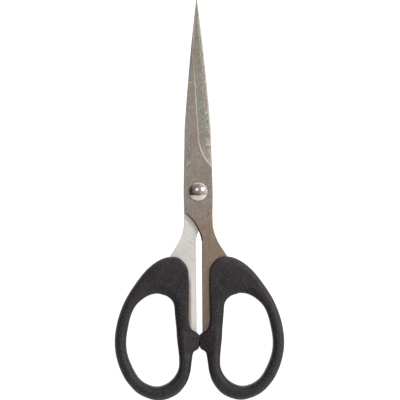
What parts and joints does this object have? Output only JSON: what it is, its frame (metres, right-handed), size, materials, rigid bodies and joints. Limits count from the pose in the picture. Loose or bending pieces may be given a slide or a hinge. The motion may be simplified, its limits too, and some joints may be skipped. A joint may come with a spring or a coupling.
{
  "type": "fabric shears",
  "caption": "Right-handed fabric shears with slim pointed steel blades, a domed rivet pivot and matching oval moulded finger rings.",
  "frame": {"origin": "on the pivot axis, in the plane where the two blades meet", "axes": "+Y from the pivot to the tips, +X towards the front blade's handle, +Z out of the rivet's domed head"},
  "size_m": [0.074, 0.175, 0.01],
  "materials": {
    "ground_steel": "satin",
    "moulded_plastic": "fine matte texture",
    "polished_steel": "polished",
    "washer_steel": "turned"
  },
  "bodies": {
    "back_half": {"back_blade": "ground_steel", "back_handle": "moulded_plastic", "pivot_rivet": "polished_steel", "rivet_washer": "washer_steel"},
    "front_half": {"front_blade": "ground_steel", "front_handle": "moulded_plastic"}
  },
  "joints": [
    {"name": "pivot_turn", "type": "hinge", "parent": "back_half", "child": "front_half", "pos_m": [0, 0, 0], "axis": [0, 0, 1], "range_deg": [0, 135]}
  ]
}
